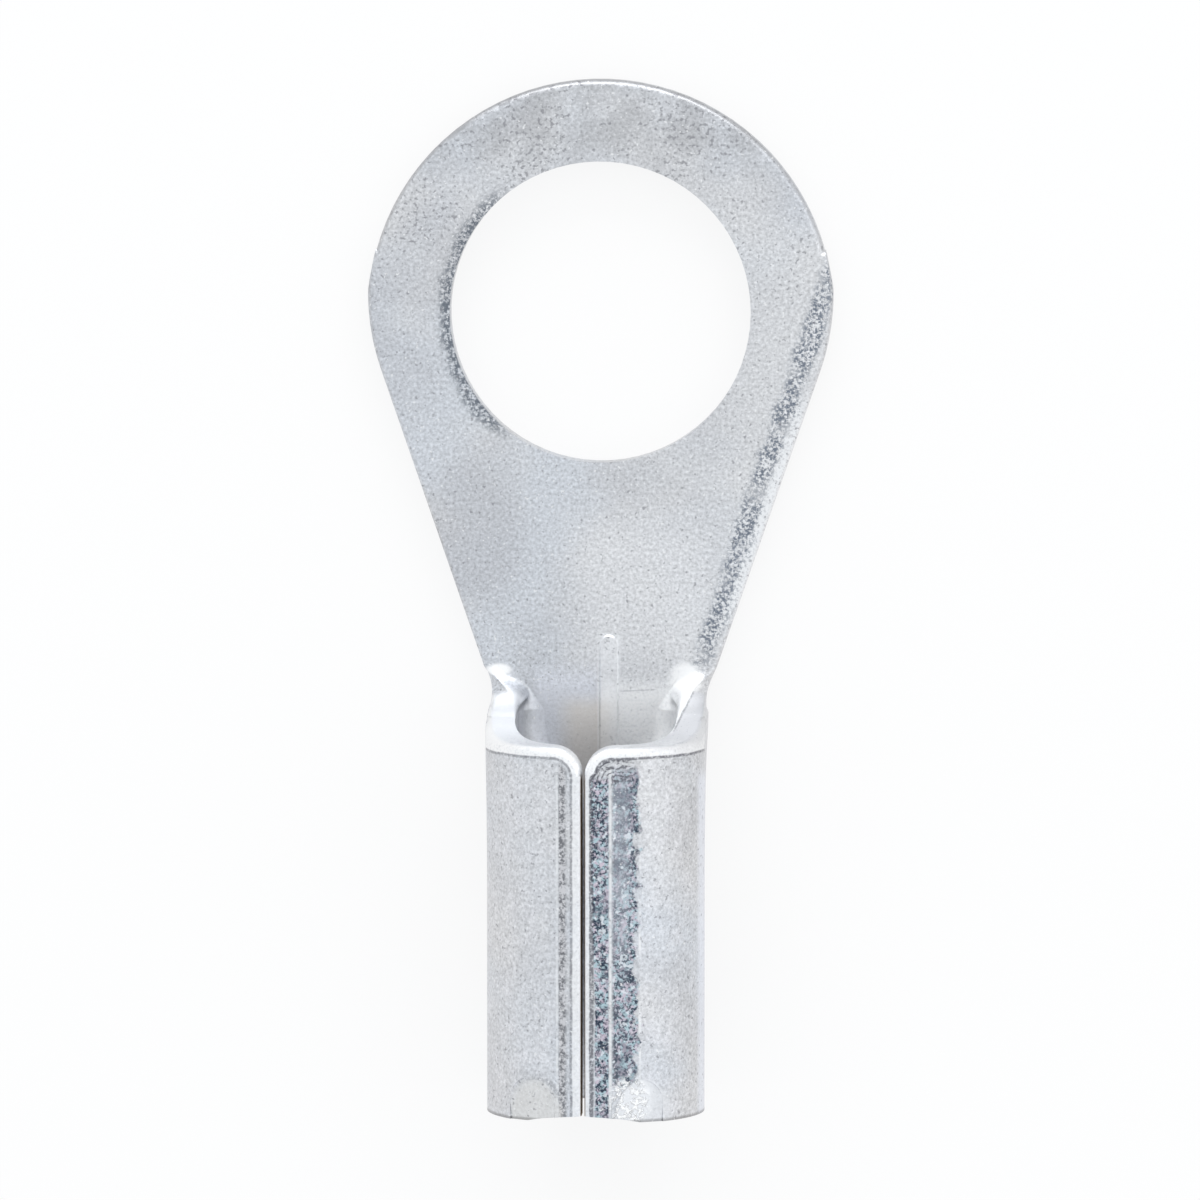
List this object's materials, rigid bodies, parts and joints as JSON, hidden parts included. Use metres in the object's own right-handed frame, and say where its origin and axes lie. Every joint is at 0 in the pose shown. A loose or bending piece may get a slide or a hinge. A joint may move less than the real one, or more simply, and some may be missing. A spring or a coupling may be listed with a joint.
{
  "type": "ring terminal",
  "caption": "Non-insulated butted-seam ring terminal: flat ring with a stud hole, folded neck and round crimp barrel, stamped from one plated copper sheet.",
  "frame": {"origin": "centre of the stud hole on the tongue's underside", "axes": "+Z along the stud hole, away from the underside; +Y from the wire end towards the ring's tip; +X across the tongue"},
  "size_m": [0.0158, 0.0347, 0.0074],
  "materials": {
    "tinned_copper": "matte tin plate on copper sheet"
  },
  "bodies": {
    "root": {"ring_terminal": "tinned_copper"}
  },
  "joints": []
}
